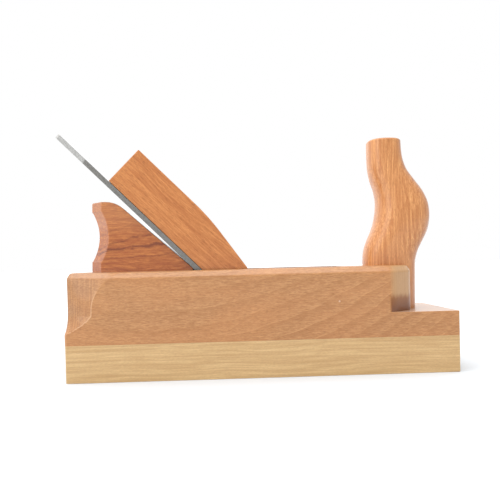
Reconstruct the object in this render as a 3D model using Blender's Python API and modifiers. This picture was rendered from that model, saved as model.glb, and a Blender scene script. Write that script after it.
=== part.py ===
"""Horned wooden hand plane: beech body on a hornbeam sole, 45 degree bed, single iron and wedge.

Frame: origin at the centre of the sole's underside, +X towards the toe, +Z up, metres.
"""
import math

import bmesh
import bpy
from mathutils import Matrix, Vector

# ---- driving dimensions ------------------------------------------------------------------------
GAP = 0.0003                  # clearance kept between touching pieces

LENGTH = 0.240                # heel to toe
WIDTH = 0.064
SOLE_THICKNESS = 0.02245
DECK_TOP = 0.0377             # height of the step in front of the horn
BODY_TOP = 0.0662
CORNER_CHAMFER = 0.0012       # vertical corners of body and sole
TOP_ROUNDOVER = 0.0034

BED_ANGLE = math.radians(45)
MOUTH_REAR = 0.0248           # where the iron's back would meet the sole's underside
MOUTH_FRONT = 0.0308
MOUTH_LAND = 0.004            # upright part of the front wall, straight above the mouth
THROAT_FRONT = 0.0540         # front end of the throat at the body's top

IRON_WIDTH = 0.048
IRON_THICKNESS = 0.003
IRON_TOP = 0.1934             # iron's top end, measured up the bed from the frame's origin
IRON_CORNER = 0.0015          # clipped top corners
IRON_EDGE_HEIGHT = 0.0003     # cutting edge above the sole's underside at rest
IRON_BEVEL = math.radians(27)

WEDGE_WIDTH = 0.047
WEDGE_THICKNESS = 0.0263
WEDGE_TOP = 0.1520            # wedge's square top end, measured up the bed
WEDGE_BEND = 0.0930           # where the front face starts to taper
WEDGE_TAPER = math.radians(9.2)
WEDGE_TIP = 0.0080
WEDGE_LEG_WIDTH = 0.0072
WEDGE_CROTCH = 0.0500         # top of the cut-out between the legs
THROAT_WIDTH = 0.0490
ABUTMENT_WIDTH = 0.0058       # each rib that the wedge bears on

HORN_REAR = 0.0686
HORN_FRONT = 0.1020
HORN_BASE_HALF_WIDTH = 0.0135
HORN_TOP = 0.1486

REST_WIDTH = 0.042
REST_REAR = -0.1066
REST_TOP = 0.1095
REST_CHAMFER = 0.0074         # on both upright rear edges, following the hollow
REST_SLOPE = math.radians(42)

HEEL_SCOOP_START = -0.1012    # where each rounded rear corner leaves the side
HEEL_SCOOP_RADIUS = 0.0275
HEEL_COVE_RADIUS = 0.0144
HEEL_COVE_BOTTOM = 0.0279
HEEL_COVE_TOP = 0.0420
STEP_FRONT = 0.0945           # front end of the upper body
FINGER_CUT_START = 0.0778     # where each finger cut beside the horn leaves the side
FINGER_CUT_DEPTH = 0.0105

DOWEL_RADIUS = 0.004
DOWEL_LENGTH = 0.028
DOWEL_BOTTOM = 0.0500
DOWEL_PLACES = {"hand_rest_dowel_front": -0.066, "hand_rest_dowel_rear": -0.092}

SCREW_X = 0.0853
SCREW_LENGTH = 0.050
SCREW_SHANK_RADIUS = 0.0025
SCREW_HEAD_RADIUS = 0.0048

# ---- derived places ----------------------------------------------------------------------------
UP_BED = Vector((-math.cos(BED_ANGLE), 0, math.sin(BED_ANGLE)))
OFF_BED = Vector((math.sin(BED_ANGLE), 0, math.cos(BED_ANGLE)))
IRON_BACK = MOUTH_REAR * math.sin(BED_ANGLE)        # the iron's back face, measured off the bed line
IRON_FACE = IRON_BACK + IRON_THICKNESS
WEDGE_BACK = IRON_FACE + GAP
WEDGE_FRONT = WEDGE_BACK + WEDGE_THICKNESS
BODY_BOTTOM = SOLE_THICKNESS + GAP
HALF_LENGTH = LENGTH / 2
HALF_WIDTH = WIDTH / 2
ABOVE = 0.03                                        # how far cutters run past the wood


# ---- helpers -----------------------------------------------------------------------------------
def clear_scene():
    for obj in list(bpy.data.objects):
        bpy.data.objects.remove(obj, do_unlink=True)


def make_collection(name):
    collection = bpy.data.collections.new(name)
    bpy.context.scene.collection.children.link(collection)
    return collection


def make_material(name, color, roughness, metallic=0.0):
    material = bpy.data.materials.new(name)
    material.use_nodes = True
    shader = material.node_tree.nodes["Principled BSDF"]
    shader.inputs["Base Color"].default_value = (*color, 1.0)
    shader.inputs["Roughness"].default_value = roughness
    shader.inputs["Metallic"].default_value = metallic
    material.diffuse_color = (*color, 1.0)
    return material


def place(name, mesh, collection, material=None):
    obj = bpy.data.objects.new(name, mesh)
    collection.objects.link(obj)
    if material:
        mesh.materials.append(material)
    return obj


def bed_point(up, off):
    """World X and Z of a point given as distances up the bed and square off it."""
    point = UP_BED * up + OFF_BED * off
    return (point.x, point.z)


def outline_mesh(name, points, thickness):
    """A closed outline as a filled 2D curve, made into a welded mesh."""
    curve = bpy.data.curves.new(name, "CURVE")
    curve.dimensions = "2D"
    curve.fill_mode = "BOTH"
    curve.extrude = thickness / 2
    spline = curve.splines.new("POLY")
    spline.points.add(len(points) - 1)
    for spline_point, (x, y) in zip(spline.points, points):
        spline_point.co = (x, y, 0, 1)
    spline.use_cyclic_u = True
    curve_object = bpy.data.objects.new(name + "_outline", curve)
    bpy.context.scene.collection.objects.link(curve_object)
    evaluated = curve_object.evaluated_get(bpy.context.evaluated_depsgraph_get())
    mesh = bpy.data.meshes.new_from_object(evaluated)
    mesh.name = name
    bpy.data.objects.remove(curve_object, do_unlink=True)
    edited = bmesh.new()
    edited.from_mesh(mesh)
    bmesh.ops.remove_doubles(edited, verts=edited.verts, dist=0.00001)
    bmesh.ops.dissolve_limit(edited, angle_limit=0.001, verts=edited.verts, edges=edited.edges)
    bmesh.ops.recalc_face_normals(edited, faces=edited.faces)
    edited.to_mesh(mesh)
    edited.free()
    return mesh


def side_prism(name, points, width):
    """An outline drawn in the X-Z plane, as wide as given, centred on Y = 0."""
    mesh = outline_mesh(name, points, width)
    mesh.transform(Matrix.Rotation(math.radians(90), 4, "X"))
    return mesh


def plan_prism(name, points, bottom, top):
    """An outline drawn in the X-Y plane, between two heights."""
    mesh = outline_mesh(name, points, top - bottom)
    mesh.transform(Matrix.Translation((0, 0, (bottom + top) / 2)))
    return mesh


def loft(name, rings):
    """A closed skin over a stack of rings that all have the same number of points."""
    edited = bmesh.new()
    loops = [[edited.verts.new(point) for point in ring] for ring in rings]
    count = len(rings[0])
    for lower, upper in zip(loops, loops[1:]):
        for index in range(count):
            following = (index + 1) % count
            edited.faces.new((lower[index], lower[following], upper[following], upper[index]))
    edited.faces.new(reversed(loops[0]))
    edited.faces.new(loops[-1])
    bmesh.ops.recalc_face_normals(edited, faces=edited.faces)
    mesh = bpy.data.meshes.new(name)
    edited.to_mesh(mesh)
    edited.free()
    return mesh


def turned(name, profile, collection, material, steps=20):
    """A round piece about Z from its outer profile, listed from top to bottom."""
    mesh = bpy.data.meshes.new(name)
    edges = [(index, index + 1) for index in range(len(profile) - 1)]
    mesh.from_pydata([(radius, 0, height) for radius, height in profile], edges, [])
    obj = place(name, mesh, collection, material)
    screw = obj.modifiers.new("turn", "SCREW")
    screw.steps = steps
    screw.render_steps = steps
    screw.use_merge_vertices = True
    screw.merge_threshold = 0.00001
    screw.use_smooth_shade = False
    return obj


def cut(target, cutter):
    modifier = target.modifiers.new("cut_" + cutter.name, "BOOLEAN")
    modifier.operation = "DIFFERENCE"
    modifier.solver = "EXACT"
    modifier.object = cutter


def add_cutter(name, mesh, collection):
    obj = place(name, mesh, collection)
    obj.hide_render = True
    obj.display_type = "WIRE"
    return obj


def bevel_edges(mesh, chosen, width, segments):
    """Bevel the edges whose two end points satisfy the test."""
    edited = bmesh.new()
    edited.from_mesh(mesh)
    edges = [edge for edge in edited.edges if chosen(edge.verts[0].co, edge.verts[1].co)]
    bmesh.ops.bevel(edited, geom=edges, offset=width, segments=segments, profile=0.5,
                    affect="EDGES", clamp_overlap=True)
    edited.to_mesh(mesh)
    edited.free()


def is_upright(first, second):
    return abs(first.x - second.x) < 1e-5 and abs(first.y - second.y) < 1e-5


def smooth_through(knots, value):
    """A smooth curve through (position, value) knots, flat-ended, read at one position."""
    for index in range(len(knots) - 1):
        (start, first), (end, second) = knots[index], knots[index + 1]
        if value > end and index < len(knots) - 2:
            continue
        span = end - start
        before = knots[max(index - 1, 0)]
        after = knots[min(index + 2, len(knots) - 1)]
        slope_in = (second - before[1]) / (end - before[0])
        slope_out = (after[1] - first) / (after[0] - start)
        t = min(max((value - start) / span, 0), 1)
        return ((2 * t ** 3 - 3 * t ** 2 + 1) * first + (t ** 3 - 2 * t ** 2 + t) * span * slope_in
                + (3 * t ** 2 - 2 * t ** 3) * second + (t ** 3 - t ** 2) * span * slope_out)
    return knots[-1][1]


def oval_ring(rear, front, half_width, height, exponent, count):
    """A rounded-board section: a superellipse at one height."""
    center = (rear + front) / 2
    half_length = (front - rear) / 2
    ring = []
    for index in range(count):
        angle = 2 * math.pi * index / count
        cosine, sine = math.cos(angle), math.sin(angle)
        x = center + half_length * math.copysign(abs(cosine) ** (2 / exponent), cosine)
        y = half_width * math.copysign(abs(sine) ** (2 / exponent), sine)
        ring.append((x, y, height))
    return ring


# ---- throat, shared by body and sole -----------------------------------------------------------
def bed_x(height):
    """The bed that the iron's back lies on, just behind the iron."""
    return (IRON_BACK - GAP - height * math.cos(BED_ANGLE)) / math.sin(BED_ANGLE)


def throat_front_x(height):
    """The throat's front wall: upright above the mouth, then leaning towards the toe."""
    if height <= MOUTH_LAND:
        return MOUTH_FRONT
    lean = (THROAT_FRONT - MOUTH_FRONT) / (BODY_TOP - MOUTH_LAND)
    return MOUTH_FRONT + (height - MOUTH_LAND) * lean


def wedge_front_off(up):
    """How far the wedge's front stands off the bed line at a place up the bed."""
    return WEDGE_FRONT - max(WEDGE_BEND - up, 0) * math.tan(WEDGE_TAPER)


def bed_seat_cutter(cutters):
    """Room for iron and wedge: from the bed to the abutment ribs, full throat width."""
    bottom, top = -0.045, 0.110
    bed = IRON_BACK - GAP
    points = [bed_point(bottom, bed), bed_point(top, bed),
              bed_point(top, wedge_front_off(top) + GAP),
              bed_point(WEDGE_BEND, WEDGE_FRONT + GAP),
              bed_point(bottom, wedge_front_off(bottom) + GAP)]
    return add_cutter("bed_seat_cutter", side_prism("bed_seat_cutter", points, THROAT_WIDTH), cutters)


def shavings_cutter(cutters):
    """Room for the shavings, between the abutment ribs and the throat's front wall."""
    rib_gap = THROAT_WIDTH - 2 * ABUTMENT_WIDTH
    low, high = BODY_BOTTOM - ABOVE, BODY_TOP + ABOVE
    side = [(throat_front_x(low), low), (throat_front_x(MOUTH_LAND), MOUTH_LAND),
            (throat_front_x(high), high), bed_point(0.13, IRON_FACE), bed_point(-0.02, IRON_FACE)]
    return add_cutter("shavings_cutter", side_prism("shavings_cutter", side, rib_gap), cutters)


def mouth_cutter(cutters):
    """The throat inside the sole: full width, from the bed to the front wall."""
    low, high = -0.002, SOLE_THICKNESS + 0.010
    points = [(bed_x(low), low), (bed_x(high), high), (throat_front_x(high), high),
              (MOUTH_FRONT, MOUTH_LAND), (MOUTH_FRONT, low)]
    return add_cutter("mouth_cutter", side_prism("mouth_cutter", points, THROAT_WIDTH), cutters)


# ---- body --------------------------------------------------------------------------------------
def heel_corner_cutter(cutters, side):
    """Rounds one rear corner of the body, with a coved end above the sole."""
    steps, levels = 8, 6
    rings = []
    end = -HALF_LENGTH - 0.001

    def depth(x):
        run = HEEL_SCOOP_START - x
        return HEEL_SCOOP_RADIUS - math.sqrt(HEEL_SCOOP_RADIUS ** 2 - run ** 2)

    def ring(height, lift):
        points = []
        for index in range(steps + 1):
            x = HEEL_SCOOP_START + (end - HEEL_SCOOP_START) * index / steps
            y = HALF_WIDTH - max(depth(x) - lift, -0.0005)
            points.append((x, side * y, height))
        outside = HALF_WIDTH + 0.005
        points.append((end, side * outside, height))
        points.append((HEEL_SCOOP_START, side * outside, height))
        return points

    full_depth = depth(end)
    for index in range(levels + 1):
        drop = (HEEL_COVE_TOP - HEEL_COVE_BOTTOM) * (1 - index / levels)
        lift = HEEL_COVE_RADIUS - math.sqrt(HEEL_COVE_RADIUS ** 2 - drop ** 2)
        rings.append(ring(HEEL_COVE_TOP - drop, min(lift, full_depth + 0.0005)))
    rings.append(ring(BODY_TOP + ABOVE, 0))
    name = "heel_corner_cutter_" + ("left" if side > 0 else "right")
    return add_cutter(name, loft(name, rings), cutters)


def finger_cutter(cutters, side):
    """Takes off one front corner of the upper body, so that fingers pass beside the horn."""
    bow = 0.0004
    front = STEP_FRONT + 0.002
    run = STEP_FRONT - FINGER_CUT_START
    points = []
    for index in range(6):
        t = index / 5 * (front - FINGER_CUT_START) / run
        y = HALF_WIDTH - FINGER_CUT_DEPTH * t + 4 * bow * t * (1 - t)
        points.append((FINGER_CUT_START + run * t, side * y))
    points.append((front, side * (HALF_WIDTH + 0.005)))
    points.append((FINGER_CUT_START - 0.001, side * (HALF_WIDTH + 0.005)))
    points.append((FINGER_CUT_START - 0.001, side * (HALF_WIDTH + 0.0006)))
    name = "finger_cutter_" + ("left" if side > 0 else "right")
    return add_cutter(name, plan_prism(name, points, DECK_TOP, BODY_TOP + ABOVE), cutters)


def horn_socket_cutter(cutters):
    rings = [oval_ring(HORN_REAR - GAP, HORN_FRONT + GAP, HORN_BASE_HALF_WIDTH + GAP, height, 2.5, 28)
             for height in (DECK_TOP, BODY_TOP + ABOVE)]
    return add_cutter("horn_socket_cutter", loft("horn_socket_cutter", rings), cutters)


def screw_profile(clearance):
    """Outer profile of the horn's screw, from its tip down to its flat countersunk head."""
    bottom = BODY_BOTTOM + GAP
    rim_top = bottom + 0.0006 + clearance
    shank = SCREW_SHANK_RADIUS + clearance
    head = SCREW_HEAD_RADIUS + clearance
    tip = bottom + SCREW_LENGTH + clearance
    return [(0, tip), (shank * 0.35, tip - 0.0004), (shank, tip - 0.006),
            (shank, rim_top + head - shank), (head, rim_top),
            (head, bottom - clearance), (0, bottom - clearance)]


def round_cutter(name, profile, x, cutters):
    obj = turned(name, profile, cutters, None)
    obj.location = (x, 0, 0)
    obj.hide_render = True
    obj.display_type = "WIRE"
    return obj


def dowel_cutter(name, x, cutters):
    radius = DOWEL_RADIUS + GAP
    bottom, top = DOWEL_BOTTOM - GAP, DOWEL_BOTTOM + DOWEL_LENGTH + GAP
    return round_cutter(name, [(0, top), (radius, top), (radius, bottom), (0, bottom)], x, cutters)


def make_body(parts, cutters, beech, shared):
    outline = [(-HALF_LENGTH, BODY_BOTTOM), (HALF_LENGTH, BODY_BOTTOM), (HALF_LENGTH, DECK_TOP),
               (STEP_FRONT, DECK_TOP), (STEP_FRONT, BODY_TOP), (-HALF_LENGTH, BODY_TOP)]
    mesh = side_prism("body_block", outline, WIDTH)

    def at_top(first, second):
        return min(first.z, second.z) > BODY_TOP - 1e-5

    def outer_corner(first, second):
        return is_upright(first, second) and max(abs(first.x), abs(second.x)) > HALF_LENGTH - 1e-5

    bevel_edges(mesh, at_top, TOP_ROUNDOVER, 4)
    bevel_edges(mesh, outer_corner, CORNER_CHAMFER, 1)
    body = place("body_block", mesh, parts, beech)
    for side in (-1, 1):
        cut(body, heel_corner_cutter(cutters, side))
        cut(body, finger_cutter(cutters, side))
    cut(body, shared["bed_seat"])
    cut(body, shavings_cutter(cutters))
    cut(body, horn_socket_cutter(cutters))
    cut(body, shared["screw"])
    for cutter in shared["dowels"]:
        cut(body, cutter)
    return body


def make_sole(parts, cutters, hornbeam):
    outline = [(-HALF_LENGTH, 0), (HALF_LENGTH, 0), (HALF_LENGTH, SOLE_THICKNESS),
               (-HALF_LENGTH, SOLE_THICKNESS)]
    mesh = side_prism("sole", outline, WIDTH)
    bevel_edges(mesh, is_upright, CORNER_CHAMFER, 1)
    sole = place("sole", mesh, parts, hornbeam)
    cut(sole, mouth_cutter(cutters))
    return sole


# ---- handles -----------------------------------------------------------------------------------
HORN_REAR_LINE = [(0.038, HORN_REAR), (0.066, HORN_REAR), (0.076, 0.0694), (0.083, 0.0718), (0.090, 0.0749),
                  (0.098, 0.0771), (0.108, 0.0780), (0.116, 0.0767), (0.1226, 0.0745), (0.130, 0.0731),
                  (0.138, 0.0727), (HORN_TOP, 0.0727)]
HORN_FRONT_LINE = [(0.038, HORN_FRONT), (0.060, 0.1017), (0.068, 0.1024), (0.0755, 0.1043), (0.082, 0.1075),
                   (0.0886, 0.1106), (0.0955, 0.1120), (0.102, 0.1121), (0.1086, 0.1108), (0.1153, 0.1075),
                   (0.122, 0.1026), (0.1288, 0.0978), (0.1354, 0.0953), (0.142, 0.0943), (HORN_TOP, 0.0940)]
HORN_HALF_WIDTH_LINE = [(0.038, HORN_BASE_HALF_WIDTH), (0.066, HORN_BASE_HALF_WIDTH), (0.098, 0.0155),
                        (0.128, 0.0124), (HORN_TOP, 0.0120)]


def make_horn(parts, beech, screw_cutter):
    """The front handle: rounded sections stacked up its curved rear and front lines."""
    count, bottom = 28, DECK_TOP + GAP
    round_top = 0.0024
    straight = [bottom, BODY_TOP + 0.002]
    curved_levels = 20
    curved = [BODY_TOP + 0.002 + (HORN_TOP - round_top - BODY_TOP - 0.002) * index / curved_levels
              for index in range(1, curved_levels + 1)]
    rings = []
    for height in straight + curved:
        rear = smooth_through(HORN_REAR_LINE, height)
        front = smooth_through(HORN_FRONT_LINE, height)
        half_width = smooth_through(HORN_HALF_WIDTH_LINE, height)
        rings.append(oval_ring(rear, front, half_width, height, 2.5, count))
    for angle in (35, 65):
        inset = round_top * (1 - math.cos(math.radians(angle)))
        height = HORN_TOP - round_top + round_top * math.sin(math.radians(angle))
        rings.append(oval_ring(rear + inset, front - inset, half_width - inset, height, 2.5, count))
    horn = place("front_horn", loft("front_horn", rings), parts, beech)
    cut(horn, screw_cutter)
    return horn


def rest_outline(chamfered):
    """Side view of the hand rest: hollow back between two lips, rounded top, front sloping down
    behind the iron. The chamfered outline has its rear set in by the chamfer."""
    bottom = BODY_TOP + GAP
    low_lip, high_lip = 0.0732, 0.1040
    hollow_depth, lip_step = 0.0043, 0.0006
    rear = REST_REAR + (REST_CHAMFER if chamfered else 0)
    points = [(rear, bottom), (rear, low_lip - lip_step)]
    steps = 8
    for index in range(steps + 1):
        t = index / steps
        depth = lip_step + hollow_depth * (1 - (2 * t - 1) ** 2)
        points.append((rear + depth, low_lip + (high_lip - low_lip) * t))
    points += [(rear, high_lip + lip_step), (rear, REST_TOP)]
    nose_radius, nose_start = 0.016, -0.0959
    for index in range(6):
        angle = REST_SLOPE * index / 5
        points.append((nose_start + nose_radius * math.sin(angle),
                       REST_TOP - nose_radius * (1 - math.cos(angle))))
    last_x, last_z = points[-1]
    toe = 0.0014
    front = last_x + (last_z - bottom - toe) / math.tan(REST_SLOPE)
    points += [(front, bottom + toe), (front, bottom)]
    return points


def make_hand_rest(parts, beech, shared):
    half = REST_WIDTH / 2
    rings = []
    for y, chamfered in ((-half, True), (REST_CHAMFER - half, False),
                         (half - REST_CHAMFER, False), (half, True)):
        rings.append([(x, y, z) for x, z in rest_outline(chamfered)])
    rest = place("hand_rest", loft("hand_rest", rings), parts, beech)
    for cutter in shared["dowels"]:
        cut(rest, cutter)
    return rest


# ---- iron and wedge ----------------------------------------------------------------------------
def lay_on_bed(obj, off):
    """Stands a piece drawn with +X up the bed and +Z off it onto the bed line."""
    turn = Matrix((UP_BED, Vector((0, -1, 0)), OFF_BED)).transposed().to_4x4()
    obj.matrix_world = Matrix.Translation(OFF_BED * off) @ turn


def make_iron(parts, steel):
    """A plain iron, bevel down, drawn flat and then laid on the bed."""
    edge = (IRON_EDGE_HEIGHT - IRON_FACE * math.cos(BED_ANGLE)) / math.sin(BED_ANGLE)
    half = IRON_WIDTH / 2
    clip = IRON_CORNER
    outline = [(edge, -half), (IRON_TOP - clip, -half), (IRON_TOP, -half + clip),
               (IRON_TOP, half - clip), (IRON_TOP - clip, half), (edge, half)]
    mesh = plan_prism("cutting_iron", outline, 0, IRON_THICKNESS)
    bevel_length = (IRON_THICKNESS - 0.0002) / math.tan(IRON_BEVEL)
    for vertex in mesh.vertices:
        if vertex.co.x < edge + 1e-5 and vertex.co.z < IRON_THICKNESS / 2:
            vertex.co.x = edge + bevel_length
    iron = place("cutting_iron", mesh, parts, steel)
    lay_on_bed(iron, IRON_BACK)
    return iron


def make_wedge(parts, cutters, beech):
    """A thick slab with a tapered lower front, forked into two legs for the shavings."""
    blunt = 0.006
    tip_off = WEDGE_THICKNESS - (WEDGE_BEND - WEDGE_TIP) * math.tan(WEDGE_TAPER)
    outline = [(WEDGE_TIP, 0), (WEDGE_TOP, 0), (WEDGE_TOP, WEDGE_THICKNESS),
               (WEDGE_BEND + 0.008, WEDGE_THICKNESS),
               (WEDGE_BEND, WEDGE_THICKNESS - 0.0003),
               (WEDGE_BEND - 0.008, WEDGE_THICKNESS - 0.008 * math.tan(WEDGE_TAPER)),
               (WEDGE_TIP + blunt, tip_off + blunt * math.tan(WEDGE_TAPER)),
               (WEDGE_TIP, tip_off - blunt * 0.7)]
    mesh = side_prism("wedge", outline, WEDGE_WIDTH)
    wedge = place("wedge", mesh, parts, beech)
    lay_on_bed(wedge, WEDGE_BACK)
    inner = WEDGE_WIDTH / 2 - WEDGE_LEG_WIDTH
    arch = []
    for index in range(9):
        angle = math.radians(90) - math.radians(180) * index / 8
        arch.append((WEDGE_CROTCH - inner * 0.6 + inner * 0.6 * math.cos(angle), inner * math.sin(angle)))
    fork = [(WEDGE_TIP - 0.01, inner)] + arch + [(WEDGE_TIP - 0.01, -inner)]
    cutter = add_cutter("fork_cutter", plan_prism("fork_cutter", fork, -0.01, 0.05), cutters)
    lay_on_bed(cutter, WEDGE_BACK)
    cut(wedge, cutter)
    return wedge


# ---- fasteners ---------------------------------------------------------------------------------
def make_horn_screw(parts, cutters, steel):
    screw = turned("horn_screw", screw_profile(0), parts, steel, 16)
    screw.location = (SCREW_X, 0, 0)
    slot = bmesh.new()
    bmesh.ops.create_cube(slot, size=1.0, matrix=Matrix.Diagonal((0.012, 0.0012, 0.0024, 1.0)))
    slot_mesh = bpy.data.meshes.new("slot_cutter")
    slot.to_mesh(slot_mesh)
    slot.free()
    cutter = add_cutter("slot_cutter", slot_mesh, cutters)
    cutter.location = (SCREW_X, 0, BODY_BOTTOM + GAP)
    cut(screw, cutter)
    return screw


def make_dowel(name, x, parts, beech):
    chamfer = 0.0008
    top, bottom = DOWEL_BOTTOM + DOWEL_LENGTH, DOWEL_BOTTOM
    profile = [(0, top), (DOWEL_RADIUS - chamfer, top), (DOWEL_RADIUS, top - chamfer),
               (DOWEL_RADIUS, bottom + chamfer), (DOWEL_RADIUS - chamfer, bottom), (0, bottom)]
    dowel = turned(name, profile, parts, beech, 20)
    dowel.location = (x, 0, 0)
    return dowel


def main():
    clear_scene()
    parts = make_collection("hand_plane")
    cutters = make_collection("cutters")
    body_beech = make_material("body_beech", (0.58, 0.31, 0.16), 0.55)
    sole_hornbeam = make_material("sole_hornbeam", (0.67, 0.47, 0.25), 0.55)
    horn_beech = make_material("horn_beech", (0.68, 0.33, 0.14), 0.45)
    rest_beech = make_material("rest_beech", (0.48, 0.16, 0.06), 0.5)
    wedge_beech = make_material("wedge_beech", (0.65, 0.29, 0.10), 0.5)
    dowel_beech = make_material("dowel_beech", (0.66, 0.42, 0.24), 0.6)
    iron_steel = make_material("iron_steel", (0.35, 0.36, 0.36), 0.35, 1.0)
    screw_steel = make_material("screw_steel", (0.55, 0.55, 0.55), 0.3, 1.0)

    dowel_cutters = [dowel_cutter(name + "_cutter", x, cutters) for name, x in DOWEL_PLACES.items()]
    screw_cutter = round_cutter("screw_cutter", screw_profile(GAP), SCREW_X, cutters)
    shared = {"bed_seat": bed_seat_cutter(cutters), "screw": screw_cutter, "dowels": dowel_cutters}

    make_body(parts, cutters, body_beech, shared)
    make_sole(parts, cutters, sole_hornbeam)
    make_horn(parts, horn_beech, screw_cutter)
    make_hand_rest(parts, rest_beech, shared)
    make_iron(parts, iron_steel)
    make_wedge(parts, cutters, wedge_beech)
    make_horn_screw(parts, cutters, screw_steel)
    for name, x in DOWEL_PLACES.items():
        make_dowel(name, x, parts, dowel_beech)


main()
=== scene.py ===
"""Looks for the horned wooden hand plane: fine woodwork, procedural woods and steel, and the studio.

Frame, as in the CAD: origin at the centre of the sole's underside, +X to the toe, +Z up, metres.
"""

import math

import bmesh
import bpy
from mathutils import Matrix, Vector


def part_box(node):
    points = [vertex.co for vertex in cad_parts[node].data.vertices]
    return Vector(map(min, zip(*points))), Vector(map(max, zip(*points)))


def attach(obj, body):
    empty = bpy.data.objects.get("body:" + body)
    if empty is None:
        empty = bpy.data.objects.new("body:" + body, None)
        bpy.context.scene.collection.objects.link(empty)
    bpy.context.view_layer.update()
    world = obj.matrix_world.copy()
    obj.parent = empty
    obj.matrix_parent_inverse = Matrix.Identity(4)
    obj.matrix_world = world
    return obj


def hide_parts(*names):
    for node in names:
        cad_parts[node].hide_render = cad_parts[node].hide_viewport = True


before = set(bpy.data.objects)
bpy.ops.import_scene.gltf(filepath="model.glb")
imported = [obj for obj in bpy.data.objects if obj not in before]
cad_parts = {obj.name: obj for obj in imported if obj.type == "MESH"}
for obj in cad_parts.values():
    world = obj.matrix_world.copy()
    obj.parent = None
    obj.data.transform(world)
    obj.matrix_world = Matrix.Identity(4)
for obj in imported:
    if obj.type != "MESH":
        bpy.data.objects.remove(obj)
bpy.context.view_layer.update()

# ---- places read from the CAD ------------------------------------------------------------------
BODY_LOW, BODY_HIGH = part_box("body_block")
SOLE_LOW, SOLE_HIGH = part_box("sole")
HORN_LOW, HORN_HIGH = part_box("front_horn")
REST_LOW, REST_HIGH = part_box("hand_rest")
IRON_LOW, IRON_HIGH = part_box("cutting_iron")
WEDGE_LOW, WEDGE_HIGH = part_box("wedge")

HEEL, TOE = BODY_LOW.x, BODY_HIGH.x
HALF_WIDTH = BODY_HIGH.y
BODY_TOP = BODY_HIGH.z
GLUE_LINE = (SOLE_HIGH.z + BODY_LOW.z) / 2      # the two glued faces meet here
HAIR = 0.00002                                  # clearance left between glued faces

# ---- shape of the woodwork, metres -------------------------------------------------------------
GAP = 0.0003                                    # clearance of iron and wedge in the body
CORNER_CHAMFER = 0.0012                         # upright corners of sole and step
END_ROUNDOVER = 0.0028
TOP_EASE = 0.0046                               # width and height of the chamfer on the long top edges
TOP_EASE_FLAT = 0.0036                          # where the chamfer's two corners turn
TOP_EASE_TURN = 0.0029
STEP_REAR = 0.060                               # the step's block reaches back into the body
DECK_TOP = HORN_LOW.z - GAP
STEP_FRONT = 0.0938
FINGER_CUT_START = 0.0763
FINGER_CUT_DEPTH = 0.0105
FINGER_BLEND = 0.35                             # part of a finger cut over which it eases in
FINGER_CORNER = 0.0044
FINGER_DARK_TOP = 0.0474                             # ragged top of the dark brown patch low in the finger cuts
SCOOP_START = -0.1032
SCOOP_DEPTH = 0.0076
SCOOP_FLARE = 0.0126                            # how far the hollow runs on towards the toe at its top
SCOOP_FLARE_BOTTOM = 0.0426
SCOOP_FLARE_HEIGHT = 0.0203
HEEL_CORNER = 0.0012
COVE_RADIUS = 0.0140
COVE_TOP = 0.0420
COVE_HEIGHT = 0.0137
BED_ANGLE = math.radians(45)
MOUTH_REAR = 0.0248
MOUTH_FRONT = 0.0308
MOUTH_LAND = 0.004
THROAT_FRONT = 0.0540
THROAT_WIDTH = 0.0490
ABUTMENT_WIDTH = 0.0058
IRON_THICKNESS = 0.003
IRON_CORNER = 0.0015
IRON_BEVEL = math.radians(27)
IRON_BRIGHT_END = 0.0218                        # bright stretch of the iron's edges, from its top end
WEDGE_CONTACT = 0.0001                          # clearance left between wedge and iron
WEDGE_THICKNESS = 0.0265
WEDGE_TOP = 0.1520
WEDGE_TIP = 0.0080
WEDGE_BEND = 0.0930
WEDGE_TAPER = math.radians(9.2)
WEDGE_LEG_WIDTH = 0.0072
WEDGE_CROTCH = 0.0500                           # top of the cut-out between the legs
REST_CHAMFER = 0.0074
REST_SLOPE = math.radians(42)
REST_NOSE_RADIUS = 0.016
REST_NOSE_START = -0.0959
HORN_REAR = 0.0686
HORN_FRONT = 0.1020
HORN_BASE_HALF_WIDTH = 0.0135
HORN_TOP = HORN_HIGH.z

UP_BED = Vector((-math.cos(BED_ANGLE), 0, math.sin(BED_ANGLE)))
OFF_BED = Vector((math.sin(BED_ANGLE), 0, math.cos(BED_ANGLE)))
IRON_BACK = MOUTH_REAR * math.sin(BED_ANGLE)
IRON_FACE = IRON_BACK + IRON_THICKNESS
WEDGE_BACK = IRON_FACE + WEDGE_CONTACT
WEDGE_FRONT = WEDGE_BACK + WEDGE_THICKNESS


# ---- mesh helpers ------------------------------------------------------------------------------
def mesh_from(edited, name):
    """Turns an edit mesh into a mesh and frees it."""
    bmesh.ops.recalc_face_normals(edited, faces=edited.faces)
    mesh = bpy.data.meshes.new(name)
    edited.to_mesh(mesh)
    edited.free()
    return mesh


def add_object(name, mesh):
    """A new object in the scene that carries the mesh."""
    obj = bpy.data.objects.new(name, mesh)
    bpy.context.scene.collection.objects.link(obj)
    return obj


def loft(name, rings):
    """A closed skin over a stack of rings that all have the same number of points."""
    edited = bmesh.new()
    loops = [[edited.verts.new(point) for point in ring] for ring in rings]
    count = len(rings[0])
    for lower, upper in zip(loops, loops[1:]):
        for index in range(count):
            following = (index + 1) % count
            edited.faces.new((lower[index], lower[following], upper[following], upper[index]))
    edited.faces.new(reversed(loops[0]))
    edited.faces.new(loops[-1])
    return mesh_from(edited, name)


def side_prism(name, points, width):
    """An outline drawn in the X-Z plane, as wide as given, centred on Y = 0."""
    return loft(name, [[(x, y, z) for x, z in points] for y in (-width / 2, width / 2)])


def plan_prism(name, points, bottom, top):
    """An outline drawn in the X-Y plane, between two heights."""
    return loft(name, [[(x, y, z) for x, y in points] for z in (bottom, top)])


def block(low, high):
    """An edit mesh of the box between two corners."""
    edited = bmesh.new()
    bmesh.ops.create_cube(edited, size=1.0)
    for vertex in edited.verts:
        vertex.co = Vector([low[i] if vertex.co[i] < 0 else high[i] for i in range(3)])
    return edited


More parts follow.
